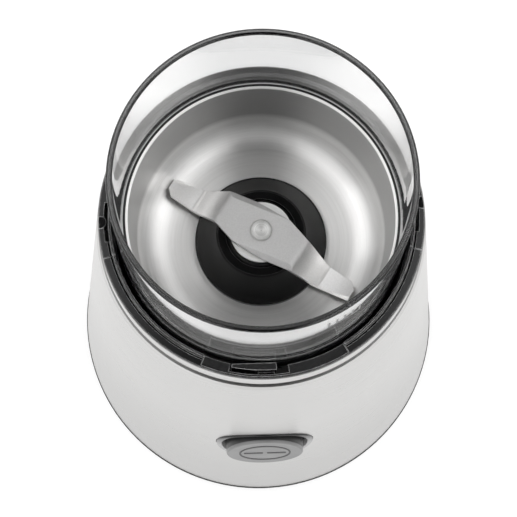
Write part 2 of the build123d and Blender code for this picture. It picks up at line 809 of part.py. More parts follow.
def grind(heel, toe, edge):
    """Grind a cutting edge from the heel, where it is widest, to the toe, where it runs out."""
    along = toe - heel
    ground_face = Plane(origin=heel - along * grind_lead, x_dir=along, z_dir=along.cross(edge - heel))
    with BuildSketch(ground_face) as ground:
        Rectangle(along.length * (1 + grind_lead), 2 * blade_mid_y, align=(Align.MIN, Align.CENTER))
    extrude(ground.sketch, amount=2 * blade_thickness, mode=Mode.SUBTRACT)


with BuildPart() as blade:
    wing_mid_z = wing_top_z - blade_thickness / 2
    plate_mid_z = blade_top_z - blade_thickness / 2
    with BuildSketch(Plane.XZ):
        with BuildLine():
            FilletPolyline(
                (-blade_tip_x, wing_mid_z),
                (-bend_outer_x, wing_mid_z),
                (-bend_inner_x, plate_mid_z),
                (bend_inner_x, plate_mid_z),
                (bend_outer_x, wing_mid_z),
                (blade_tip_x, wing_mid_z),
                radius=bend_radius,
            )
        trace(line_width=blade_thickness)
    extrude(amount=2 * blade_mid_y, both=True)
    with BuildSketch(Plane.XY.offset(wing_top_z - 2 * blade_thickness)):
        with BuildLine():
            half_outline = [
                (-blade_tip_x, tip_lead_y),
                (-bend_outer_x, outer_lead_y),
                (-bend_inner_x, inner_lead_y),
                (-mid_lead_x, blade_mid_y),
                (mid_trail_x, blade_mid_y),
                (bend_inner_x, inner_trail_y),
                (bend_outer_x, outer_trail_y),
                (blade_tip_x - tip_corner, tip_trail_y),
                (blade_tip_x, tip_trail_y - tip_corner),
            ]
            Polyline(*half_outline, *[(-x, -y) for x, y in half_outline], close=True)
        make_face()
    extrude(amount=blade_drop + 3 * blade_thickness, mode=Mode.INTERSECT)
    for turn in (0, 180):
        plate_heel = Vector(-bend_inner_x, inner_lead_y - plate_grind_width, blade_top_z)
        plate_toe = Vector(mid_trail_x, blade_mid_y, blade_top_z)
        plate_edge = Vector(-bend_inner_x, inner_lead_y, blade_top_z - plate_grind_drop)
        wing_heel = Vector(-blade_tip_x, tip_lead_y - wing_grind_width, wing_top_z)
        wing_toe = Vector(-bend_outer_x - wing_grind_end, outer_lead_y, wing_top_z)
        wing_edge = Vector(-blade_tip_x, tip_lead_y, wing_top_z - wing_grind_drop)
        grind(*[corner.rotate(Axis.Z, turn) for corner in (plate_heel, plate_toe, plate_edge)])
        grind(*[corner.rotate(Axis.Z, turn) for corner in (wing_heel, wing_toe, wing_edge)])
    with BuildSketch(Plane.XY.offset(blade_z)):
        Circle(peen_r)
    extrude(amount=blade_thickness, mode=Mode.SUBTRACT)
    rotated_blade = blade.part.rotate(Axis.Z, blade_angle)
    add(rotated_blade, mode=Mode.REPLACE)
blade.part.label = "blade"
export_step(blade.part, "parts/blade.step")


def dog_star(clearance):
    """Outline of the drive dog, grown by a clearance, in the open sketch."""
    Circle(dog_root_r + clearance)
    with PolarLocations((dog_tip_r + clearance) / 2, dog_count):
        Rectangle(dog_tip_r + clearance, dog_width + 2 * clearance)


with BuildPart() as drive_dog:
    with BuildSketch(Plane.XY.offset(dog_bottom_z)):
        dog_star(0)
    extrude(amount=dog_height)
    chamfer(drive_dog.faces().sort_by(Axis.Z)[-1].edges(), length=dog_chamfer)
    with BuildSketch(Plane.XY.offset(dog_bottom_z)):
        Circle(motor_shaft_r)
    extrude(amount=dog_height - dog_cap, mode=Mode.SUBTRACT)
drive_dog.part.label = "drive_dog"
export_step(drive_dog.part, "parts/drive_dog.step")

with BuildPart() as drive_socket:
    tube(socket_r, 0, socket_bottom_z, socket_top_z - socket_shoulder)
    tube(socket_r - socket_step, 0, socket_top_z - socket_shoulder, socket_top_z)
    with BuildSketch(Plane.XY.offset(socket_bottom_z)):
        dog_star(dog_clearance)
    extrude(amount=socket_ceiling_z - socket_bottom_z, mode=Mode.SUBTRACT)
    with BuildSketch(Plane.XY.offset(socket_ceiling_z)):
        Circle(shaft_r)
    extrude(amount=socket_top_z - socket_ceiling_z, mode=Mode.SUBTRACT)
drive_socket.part.label = "drive_socket"
export_step(drive_socket.part, "parts/drive_socket.step")

# ==== motor: moving pieces =================================================================
core_r = stator_bore_r - air_gap

with BuildPart() as motor_shaft:
    with BuildSketch(Plane.XY.offset(shaft_foot_z)):
        Circle(motor_shaft_r)
    extrude(amount=dog_top_z - dog_cap - shaft_foot_z)
motor_shaft.part.label = "motor_shaft"
export_step(motor_shaft.part, "parts/motor_shaft.step")

with BuildPart() as armature_core:
    with BuildSketch(Plane.XY.offset(stator_bottom_z)):
        Circle(core_r)
        with PolarLocations(core_r - core_slot_length / 2 + core_slot_width / 4, commutator_bars):
            SlotOverall(core_slot_length, core_slot_width, mode=Mode.SUBTRACT)
        Circle(motor_shaft_r, mode=Mode.SUBTRACT)
    extrude(amount=stator_height)
armature_core.part.label = "armature_core"
export_step(armature_core.part, "parts/armature_core.step")

with BuildPart() as armature_windings:
    for low in (winding_bottom_z, stator_top_z):
        high = low + winding_overhang
        turned([
            (motor_shaft_r, low),
            (winding_r - winding_round, low),
            (winding_r, low + winding_round),
            (winding_r, high - winding_round),
            (winding_r - winding_round, high),
            (motor_shaft_r, high),
        ])
armature_windings.part.label = "armature_windings"
export_step(armature_windings.part, "parts/armature_windings.step")

with BuildPart() as commutator:
    with BuildSketch(Plane.XY.offset(commutator_z)):
        Circle(commutator_r)
        with PolarLocations(commutator_r, commutator_bars):
            Rectangle(bar_slot_depth, bar_slot_width, mode=Mode.SUBTRACT)
        Circle(motor_shaft_r, mode=Mode.SUBTRACT)
    extrude(amount=commutator_height)
commutator.part.label = "commutator"
export_step(commutator.part, "parts/commutator.step")

with BuildPart() as cooling_fan:
    tube(fan_r, motor_shaft_r, fan_z, fan_z + fan_disc)
    tube(fan_hub_r, motor_shaft_r, fan_z + fan_disc, fan_z + fan_height)
    with BuildSketch(Plane.XY.offset(fan_z + fan_disc)):
        with PolarLocations((fan_hub_r + fan_r) / 2 - sliding, fan_blades):
            Rectangle(fan_r - fan_hub_r, fan_blade_width, rotation=fan_blade_turn)
    extrude(amount=fan_height - fan_disc)
cooling_fan.part.label = "cooling_fan"
export_step(cooling_fan.part, "parts/cooling_fan.step")

# ==== motor: fixed pieces ==================================================================
with BuildPart() as stator_core:
    with BuildSketch(Plane.XY.offset(stator_bottom_z)):
        RectangleRounded(stator_x, stator_y, stator_round)
        Circle(stator_bore_r, mode=Mode.SUBTRACT)
        slot_y = (coil_slot_inner_y + coil_slot_outer_y) / 2
        slot_x = (coil_inner_x + coil_outer_x) / 2
        with GridLocations(2 * slot_x, 2 * slot_y, 2, 2):
            Rectangle(coil_outer_x - coil_inner_x + 2 * coil_gap, coil_slot_outer_y - coil_slot_inner_y,
                      mode=Mode.SUBTRACT)
    extrude(amount=stator_height)
stator_core.part.label = "stator_core"
export_step(stator_core.part, "parts/stator_core.step")

with BuildPart() as field_coils:
    coil_mid_z = stator_bottom_z + stator_height / 2
    for side in (-1, 1):
        with BuildSketch(Plane.YZ.offset(side * slot_x)):
            with Locations((0, coil_mid_z)):
                RectangleRounded(2 * (coil_slot_outer_y - coil_gap), stator_height + 2 * coil_overhang,
                                 coil_round)
                Rectangle(2 * (coil_slot_inner_y + coil_gap), stator_height + 2 * coil_gap,
                          mode=Mode.SUBTRACT)
        extrude(amount=(coil_outer_x - coil_inner_x) / 2, both=True)
field_coils.part.label = "field_coils"
export_step(field_coils.part, "parts/field_coils.step")


def bearing(bottom):
    """A plain round bearing, bored for the motor shaft, in the open part."""
    tube(bearing_r, motor_shaft_r + running, bottom, bottom + bearing_height)


with BuildPart() as upper_motor_bearing:
    bearing(upper_bearing_z)
upper_motor_bearing.part.label = "upper_motor_bearing"
export_step(upper_motor_bearing.part, "parts/upper_motor_bearing.step")

with BuildPart() as lower_motor_bearing:
    bearing(lower_bearing_z)
lower_motor_bearing.part.label = "lower_motor_bearing"
export_step(lower_motor_bearing.part, "parts/lower_motor_bearing.step")

bracket_bore_r = motor_shaft_r + bracket_bore_gap
lower_arm_width = 2 * bearing_r + bearing_wall
leg_outer_x = stator_x / 2 - leg_inset
leg_mid_x = leg_outer_x - leg_width / 2
with BuildPart() as motor_upper_bracket:
    with BuildSketch(Plane.XY.offset(upper_bracket_z)):
        RectangleRounded(bracket_x, bracket_y, bracket_round)
        Circle(bracket_bore_r, mode=Mode.SUBTRACT)
        with GridLocations(2 * post_x, 2 * post_y, 2, 2):
            Circle(screw_shank_r + seam, mode=Mode.SUBTRACT)
        with GridLocations(bracket_vent_x, bracket_vent_y, 2, 2):
            RectangleRounded(bracket_vent_length, bracket_vent_width, bracket_vent_round,
                             mode=Mode.SUBTRACT)
    extrude(amount=bracket_thickness)
    with BuildSketch(Plane.XY.offset(stator_top_z)):
        with GridLocations(2 * leg_mid_x, 0, 2, 1):
            Rectangle(leg_width, 2 * leg_y)
    extrude(amount=leg_height)
    tube(bearing_r + bearing_wall, bearing_r, upper_bearing_z, upper_bearing_z + bearing_height)
motor_upper_bracket.part.label = "motor_upper_bracket"
export_step(motor_upper_bracket.part, "parts/motor_upper_bracket.step")

holder_z = commutator_z + commutator_height / 2
holder_half_height = brush_height / 2 + holder_wall
with BuildPart() as motor_lower_bracket:
    with BuildSketch(Plane.XY.offset(lower_bracket_z)):
        Rectangle(2 * leg_outer_x, 2 * leg_y)
        Rectangle(lower_arm_width, stator_y - stator_round)
        Circle(bracket_bore_r, mode=Mode.SUBTRACT)
    extrude(amount=bracket_thickness)
    with BuildSketch(Plane.XY.offset(lower_bracket_z + bracket_thickness)):
        with GridLocations(2 * leg_mid_x, 0, 2, 1):
            Rectangle(leg_width, 2 * leg_y)
    extrude(amount=stator_bottom_z - lower_bracket_z - bracket_thickness)
    tube(bearing_r + bearing_wall, bearing_r, lower_bearing_z, lower_bracket_z)
motor_lower_bracket.part.label = "motor_lower_bracket"
export_step(motor_lower_bracket.part, "parts/motor_lower_bracket.step")

brush_tip_y = commutator_r + brush_gap
holder_mid_y = brush_tip_y + brush_lead + holder_length / 2
with BuildPart() as brush_holders:
    for side in (-1, 1):
        with BuildSketch(Plane.XZ.offset(side * (brush_tip_y + brush_lead))):
            with Locations((0, holder_z)):
                Rectangle(brush_width + 2 * holder_wall + holder_slack,
                          2 * holder_half_height + holder_slack)
                Rectangle(brush_width + holder_slack, brush_height + holder_slack,
                          mode=Mode.SUBTRACT)
        extrude(amount=side * holder_length)
        with BuildSketch(Plane.XY.offset(lower_bracket_z + bracket_thickness)):
            with Locations((0, side * holder_mid_y)):
                Rectangle(brush_width, holder_length - 2 * holder_foot_inset)
        extrude(amount=holder_z - holder_half_height - lower_bracket_z - bracket_thickness)
brush_holders.part.label = "brush_holders"
export_step(brush_holders.part, "parts/brush_holders.step")

with BuildPart() as carbon_brushes:
    for side in (-1, 1):
        with BuildSketch(Plane.XZ.offset(side * brush_tip_y)):
            with Locations((0, holder_z)):
                Rectangle(brush_width, brush_height)
        extrude(amount=side * brush_length)
carbon_brushes.part.label = "carbon_brushes"
export_step(carbon_brushes.part, "parts/carbon_brushes.step")

with BuildPart() as motor_mounts:
    with BuildSketch(Plane.XY.offset(upper_bracket_z + bracket_thickness)):
        with GridLocations(2 * post_x, 2 * post_y, 2, 2):
            Circle(mount_r)
            Circle(screw_shank_r + seam, mode=Mode.SUBTRACT)
    extrude(amount=mount_height)
motor_mounts.part.label = "motor_mounts"
export_step(motor_mounts.part, "parts/motor_mounts.step")

with BuildPart() as motor_screws:
    with BuildSketch(Plane.XY.offset(upper_bracket_z)):
        with GridLocations(2 * post_x, 2 * post_y, 2, 2):
            Circle(screw_head_r)
    extrude(amount=-screw_head_height)
    with BuildSketch(Plane.XY.offset(upper_bracket_z)):
        with GridLocations(2 * post_x, 2 * post_y, 2, 2):
            Circle(screw_shank_r)
    extrude(amount=bracket_thickness + mount_height + screw_length - screw_tip_gap)
motor_screws.part.label = "motor_screws"
export_step(motor_screws.part, "parts/motor_screws.step")

# ==== run button, bezel and switch =========================================================
# Depths run outwards along the button's axis from the sleeve's surface.
plate_front = -bezel_depth
switch_front = plate_front - bracket_plate
button_back = plate_front + button_travel + cap_clearance
plunger_front = button_back - stem_length

with BuildPart() as button_bezel:
    with BuildSketch(button_face.offset(plate_front)):
        Circle(bezel_r)
        Circle(button_r + button_gap, mode=Mode.SUBTRACT)
    extrude(amount=bezel_depth + button_proud)
    turned([
        (0, button_z - 2 * bezel_r),
        (shell_radius(button_z - 2 * bezel_r) + bezel_proud, button_z - 2 * bezel_r),
        (shell_radius(button_z + 2 * bezel_r) + bezel_proud, button_z + 2 * bezel_r),
        (0, button_z + 2 * bezel_r),
    ], mode=Mode.INTERSECT)
    dish_rise = bezel_dish + bezel_proud
    dish_slope = (bezel_r - bezel_land - button_r - button_gap) / dish_rise
    with BuildSketch(button_face.offset(-bezel_dish)):
        Circle(button_r + button_gap)
    extrude(amount=2 * dish_rise, taper=-degrees(atan(dish_slope)), mode=Mode.SUBTRACT)
button_bezel.part.label = "button_bezel"
export_step(button_bezel.part, "parts/button_bezel.step")

with BuildPart() as button_cap:
    with BuildSketch(button_face.offset(button_back)):
        Circle(button_r)
    extrude(amount=button_proud - button_back)
    fillet(button_cap.edges().group_by(Axis.Y)[0], radius=button_round)
    with BuildSketch(button_face.offset(button_back)):
        Circle(button_r - cap_wall)
    extrude(amount=button_proud - cap_wall - button_back, mode=Mode.SUBTRACT)
    with BuildSketch(button_face.offset(plunger_front)):
        Circle(stem_r)
    extrude(amount=button_proud - cap_wall + seam - plunger_front)
button_cap.part.label = "button_cap"
export_step(button_cap.part, "parts/button_cap.step")

with BuildPart() as switch_bracket:
    with BuildSketch(button_face.offset(switch_front)):
        RectangleRounded(2 * (bezel_r + bracket_margin), 2 * switch_z, 2 * bracket_margin)
        Circle(plunger_r + sliding, mode=Mode.SUBTRACT)
    extrude(amount=bracket_plate)
    with BuildSketch(button_face.offset(switch_front)):
        with GridLocations(0, switch_z + 2 * bracket_plate, 1, 2):
            Rectangle(2 * button_r, bracket_plate)
    extrude(amount=-bracket_flange)
switch_bracket.part.label = "switch_bracket"
export_step(switch_bracket.part, "parts/switch_bracket.step")

with BuildPart() as run_switch:
    with BuildSketch(button_face.offset(switch_front)):
        RectangleRounded(switch_x, switch_z, switch_round)
    extrude(amount=-switch_y)
    with BuildSketch(button_face.offset(switch_front)):
        Circle(plunger_r + running)
    extrude(amount=-plunger_hole_depth, mode=Mode.SUBTRACT)
    with BuildSketch(button_face.offset(switch_front - switch_y)):
        with GridLocations(terminal_pitch, 0, 3, 1):
            Rectangle(terminal_width, terminal_height)
    extrude(amount=-terminal_length)
run_switch.part.label = "run_switch"
export_step(run_switch.part, "parts/run_switch.step")

with BuildPart() as switch_plunger:
    with BuildSketch(button_face.offset(switch_front - plunger_reach)):
        Circle(plunger_r)
    extrude(amount=plunger_front - switch_front + plunger_reach)
switch_plunger.part.label = "switch_plunger"
export_step(switch_plunger.part, "parts/switch_plunger.step")

with BuildPart() as button_spring:
    coil_start = plate_front + spring_wire_r + spring_gap
    coil_end = button_proud - cap_wall - spring_wire_r - spring_gap
    with BuildLine():
        coil = Helix((coil_end - coil_start) / button_spring_turns, coil_end - coil_start,
                     stem_r + button_spring_step, center=button_face.offset(coil_start).origin,
                     direction=button_face.z_dir)
    with BuildSketch(Plane(coil @ 0, z_dir=coil % 0)):
        RegularPolygon(spring_wire_r, 6)
    sweep(is_frenet=True)
button_spring.part.label = "button_spring"
export_step(button_spring.part, "parts/button_spring.step")

# ==== lid interlock ========================================================================
with BuildPart() as interlock_switch:
    with BuildSketch(Plane.XY.offset(switch_top_z)):
        with Locations((0, -interlock_y)):
            Rectangle(interlock_switch_x, interlock_switch_y)
    extrude(amount=-interlock_switch_height)
    with BuildSketch(Plane.XY.offset(switch_top_z)):
        with Locations((0, -interlock_y)):
            Circle(rod_r + running)
    extrude(amount=-interlock_hole_depth, mode=Mode.SUBTRACT)
interlock_switch.part.label = "interlock_switch"
export_step(interlock_switch.part, "parts/interlock_switch.step")

with BuildPart() as interlock_bracket:
    side_x = interlock_switch_x / 2 + interlock_side_gap
    with BuildSketch(Plane.XY.offset(guide_plate_z)):
        with Locations((0, -interlock_y)):
            Rectangle(2 * side_x + guide_side, interlock_switch_y)
            Circle(rod_r + sliding, mode=Mode.SUBTRACT)
    extrude(amount=guide_plate)
    with BuildSketch(Plane.XY.offset(switch_top_z - interlock_switch_height)):
        with GridLocations(2 * side_x + guide_side, 0, 2, 1):
            with Locations((0, -interlock_y)):
                Rectangle(guide_side, interlock_switch_y)
    extrude(amount=well_underside_z - switch_top_z + interlock_switch_height)
interlock_bracket.part.label = "interlock_bracket"
export_step(interlock_bracket.part, "parts/interlock_bracket.step")

shoulder_top_z = well_underside_z - shoulder_gap
with BuildPart() as interlock_key:
    rod_bottom_z = switch_top_z - rod_reach
    with BuildSketch(Plane.XY.offset(rod_bottom_z)):
        with Locations((0, -interlock_y)):
            Circle(rod_r)
    extrude(amount=key_bottom_z + key_arm_height / 2 - rod_bottom_z)
    with BuildSketch(Plane.XY.offset(shoulder_top_z - shoulder_height)):
        with Locations((0, -interlock_y)):
            Circle(shoulder_r)
    extrude(amount=shoulder_height)
    arc_slot(arm_start_angle, arm_end_angle, lip_r + sliding, interlock_y + rod_r, key_bottom_z,
             key_bottom_z + key_arm_height, mode=Mode.ADD)
    with BuildSketch(Plane.XY.offset(key_bottom_z)):
        with BuildLine():
            key_left = key_start_angle + key_side_angle
            heel = PolarLocations(key_left_r, 1, start_angle=key_left).locations[0].position
            nose = PolarLocations(key_right_r, 1, start_angle=key_right_angle).locations[0].position
            back = CenterArc((0, 0), key_outer_r, key_left, key_right_angle - key_left)
            face = Line(heel, nose)
            Line(face @ 0, back @ 0)
            Line(face @ 1, back @ 1)
        make_face()
    extrude(amount=key_top_z - key_bottom_z)
interlock_key.part.label = "interlock_key"
export_step(interlock_key.part, "parts/interlock_key.step")

with BuildPart() as interlock_spring:
    spring_low_z = guide_plate_z + guide_plate + key_wire_r + spring_gap
    spring_high_z = shoulder_top_z - shoulder_height - key_wire_r - spring_gap
    with BuildLine():
        wire_path = Helix((spring_high_z - spring_low_z) / key_spring_turns,
                          spring_high_z - spring_low_z, rod_r + 2 * key_wire_r,
                          center=(0, -interlock_y, spring_low_z))
    with BuildSketch(Plane(wire_path @ 0, z_dir=wire_path % 0)):
        RegularPolygon(key_wire_r, 6)
    sweep(is_frenet=True)
interlock_spring.part.label = "interlock_spring"
export_step(interlock_spring.part, "parts/interlock_spring.step")

# ==== cord inlet and suppression capacitor =================================================
with BuildPart() as cord_inlet:
    inlet_wall_y = shell_radius(inlet_z)
    for start_y, length, radius in (
        (inlet_wall_y + inlet_seat_out, inlet_flange, inlet_flange_r),
        (inlet_wall_y - inlet_seat_in, inlet_seat_in + inlet_seat_out, inlet_neck_r - running),
        (inlet_wall_y - inlet_seat_in - inlet_flange, inlet_flange, inlet_flange_r),
    ):
        with BuildSketch(Plane.XZ.offset(-start_y)):
            with Locations((0, inlet_z)):
                Circle(radius)
        extrude(amount=-length)
    with BuildSketch(Plane.XZ.offset(-inlet_wall_y)):
        with Locations((0, inlet_z)):
            Circle(inlet_bore_r)
    extrude(amount=inlet_flange_r, both=True, mode=Mode.SUBTRACT)
cord_inlet.part.label = "cord_inlet"
export_step(cord_inlet.part, "parts/cord_inlet.step")

with BuildPart() as suppression_capacitor:
    with BuildSketch(Plane.XY.offset(cover_top_z)):
        with Locations((0, capacitor_y)):
            Rectangle(capacitor_x, capacitor_width)
    extrude(amount=capacitor_height)
    fillet(suppression_capacitor.edges().filter_by(Axis.Z), radius=capacitor_round)
suppression_capacitor.part.label = "suppression_capacitor"
export_step(suppression_capacitor.part, "parts/suppression_capacitor.step")
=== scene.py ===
import math

import bmesh
import bpy
from mathutils import Matrix, Vector


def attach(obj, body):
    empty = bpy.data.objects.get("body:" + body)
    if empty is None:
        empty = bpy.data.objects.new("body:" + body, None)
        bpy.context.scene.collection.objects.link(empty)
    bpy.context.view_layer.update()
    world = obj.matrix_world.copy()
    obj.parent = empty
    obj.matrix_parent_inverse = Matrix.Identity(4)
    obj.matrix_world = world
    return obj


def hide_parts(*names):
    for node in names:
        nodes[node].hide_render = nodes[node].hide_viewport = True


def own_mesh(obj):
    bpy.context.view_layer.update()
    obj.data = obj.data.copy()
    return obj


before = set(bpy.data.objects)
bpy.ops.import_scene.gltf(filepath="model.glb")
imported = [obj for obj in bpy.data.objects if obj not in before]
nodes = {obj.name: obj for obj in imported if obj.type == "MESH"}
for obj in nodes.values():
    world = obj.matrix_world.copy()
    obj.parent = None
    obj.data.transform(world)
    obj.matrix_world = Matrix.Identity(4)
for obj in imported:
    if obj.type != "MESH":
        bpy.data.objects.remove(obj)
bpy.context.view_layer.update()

mm = 0.001                      # metres, the scene's unit
across = Vector((1, 0, 0))
straight_up = Vector((0, 0, 1))

# ---- camera ---------------------------------------------------------------------------------
image_side = 517                # pixels, as is the focal length
focal_pixels = 2499.8
sensor_width = 36.0
camera_elevation = 76.75        # degrees above the horizon
camera_turn = -3.41             # degrees about the object's axis
camera_roll = 1.72              # degrees about the line of sight
camera_distance = 0.65695       # metres from the target
camera_target = Vector((-0.00048, -0.00446, 0.1))         # metres


def make_camera():
    """A camera high in front of the object, looking steeply down into the bowl."""
    data = bpy.data.cameras.new("camera")
    data.sensor_width = sensor_width
    data.lens = focal_pixels / image_side * sensor_width
    camera = bpy.data.objects.new("camera", data)
    bpy.context.scene.collection.objects.link(camera)
    tilt = math.radians(90 - camera_elevation)
    camera.matrix_world = (
        Matrix.Rotation(math.radians(camera_turn), 4, "Z")
        @ Matrix.Translation(camera_target)
        @ Matrix.Rotation(tilt, 4, "X")
        @ Matrix.Translation((0, 0, camera_distance))
        @ Matrix.Rotation(math.radians(camera_roll), 4, "Z")
    )
    bpy.context.scene.camera = camera


# ---- meshes ---------------------------------------------------------------------------------
def add_mesh(name, bm, body, material, sharp_angle=30):
    """The finished mesh as a piece of the object, smooth except at edges sharper than this, in degrees."""
    bmesh.ops.recalc_face_normals(bm, faces=bm.faces)
    for face in bm.faces:
        face.smooth = True
    for edge in bm.edges:
        if len(edge.link_faces) == 2:
            edge.smooth = edge.calc_face_angle(0) < math.radians(sharp_angle)
    mesh = bpy.data.meshes.new(name)
    bm.to_mesh(mesh)
    bm.free()
    mesh.materials.append(material)
    piece = bpy.data.objects.new(name, mesh)
    bpy.context.scene.collection.objects.link(piece)
    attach(piece, body)
    return piece


# ---- sizes of the CAD part that finishes, springs and marks follow, mm -----------------------
collar_foot_r, collar_rim_r = 37.0, 37.5         # the clear collar's outside, where it leaves the
collar_foot_z, collar_rim_z = 126.0, 165.0       # lock ring and at its rim
collar_wall = 1.6
button_lean = math.radians(6.5)
button_out = Vector((0, -math.cos(button_lean), math.sin(button_lean)))
button_up = Vector((0, math.sin(button_lean), math.cos(button_lean)))
button_centre = Vector((0, -49.085, 55.215))     # the middle of the button's face
button_seat = Vector((0, -47.198, 55))           # where the button's axis meets the shell
key_axis = Vector((0, -39.6, 0))                 # a point on the interlock key's axis

# ---- zones in which a finish, its painted shade or its painted highlights change, mm --------
shade_full, shade_start = 25.0, 75.0             # heights between which the shell's colour is painted darker downwards, as painted shade
cup_wall_start, cup_wall_full = 107.0, 110.5     # heights between which the cup wall's painted shade begins
cup_rim_start, cup_rim_full = 126.3, 126.7       # and ends, below the polished rim
seal_dark_r, seal_highlight_r = 35.1, 35.2           # radii between which the seal's black edge turns into a pale painted highlight
plate_r, wing_r = 13.0, 16.0                     # radii between which the blade's middle turns into its wings
grind_r, tip_r = 19.0, 32.0                      # radii between which the wings are ground
grind_drop = 2.7                                 # how far the grind would fall over that length
rim_line = (0.12, 0.34)         # distances from the middle of the collar's rim where its painted highlight line fades
rim_depth = (0.3, 0.1)          # depths below the rim where that line starts and is full
rim_fade = 30.0                 # from this far in front to this far behind, it goes from weak to full
button_side_shade = (0.9, 0.7)   # depths behind the button's face between which its side, painted dark as shade, turns grey
bezel_painted_shade = (6.5, -1.5)       # heights from the button's middle where the bezel's painted shade is dark and where it is light

# ---- finishes -------------------------------------------------------------------------------
steel_relief = 0.00002          # metres
machined_relief = 0.00003
plastic_relief = 0.00004
soft_edge = 0.0002              # metres, the radius of an edge that catches light
button_edge = 0.00025
ring_edge = 0.00028
bevel_samples = 6
across_grooves = 0.25           # a quarter turn: reflections are drawn out across the turning marks
highlight_turn = (0.86, 0.97)        # cosine between an edge's soft and flat normals, at the full painted highlight and at none
highlight_patch_scale, highlight_least = 350.0, 0.35             # the painted edge highlight's patches, and how much of it every edge has
shell_painted_shade = 0.88          # the share of the base colour that is left in each of these three zones of painted shade
cup_wall_painted_shade = 0.52
plate_painted_shade = 0.735
plate_rough, wing_rough, wing_metal = 0.55, 0.30, 0.90
rim_glint_strength, rim_front_share = 0.18, 0.25           # how strong the rim's painted highlight line is behind, and its share in front


class Graph:
    """Short ways to add to a node tree, for the materials and the world."""

    def __init__(self, tree):
        self.nodes = tree.nodes
        self.links = tree.links

    def node(self, kind, **settings):
        made = self.nodes.new(kind)
        for key, value in settings.items():
            setattr(made, key, value)
        return made

    def link(self, source, target):
        self.links.new(source, target)

    def maths(self, operation, *values):
        """Arithmetic on other nodes' outputs and plain numbers."""
        made = self.node("ShaderNodeMath", operation=operation)
        for socket, value in zip(made.inputs, values):
            if isinstance(value, float):
                socket.default_value = value
            else:
                self.link(value, socket)
        return made.outputs["Value"]

    def spread(self, value, low, high, start=0.3, end=0.7, curve="LINEAR"):
        """The value, stretched from start..end to low..high."""
        made = self.node("ShaderNodeMapRange", interpolation_type=curve)
        for socket, number in (("From Min", start), ("From Max", end), ("To Min", low), ("To Max", high)):
            made.inputs[socket].default_value = number
        self.link(value, made.inputs["Value"])
        return made.outputs["Result"]

    def axes(self, vector):
        """The x, y and z of a vector."""
        split = self.node("ShaderNodeSeparateXYZ")
        self.link(vector, split.inputs["Vector"])
        return split.outputs["X"], split.outputs["Y"], split.outputs["Z"]


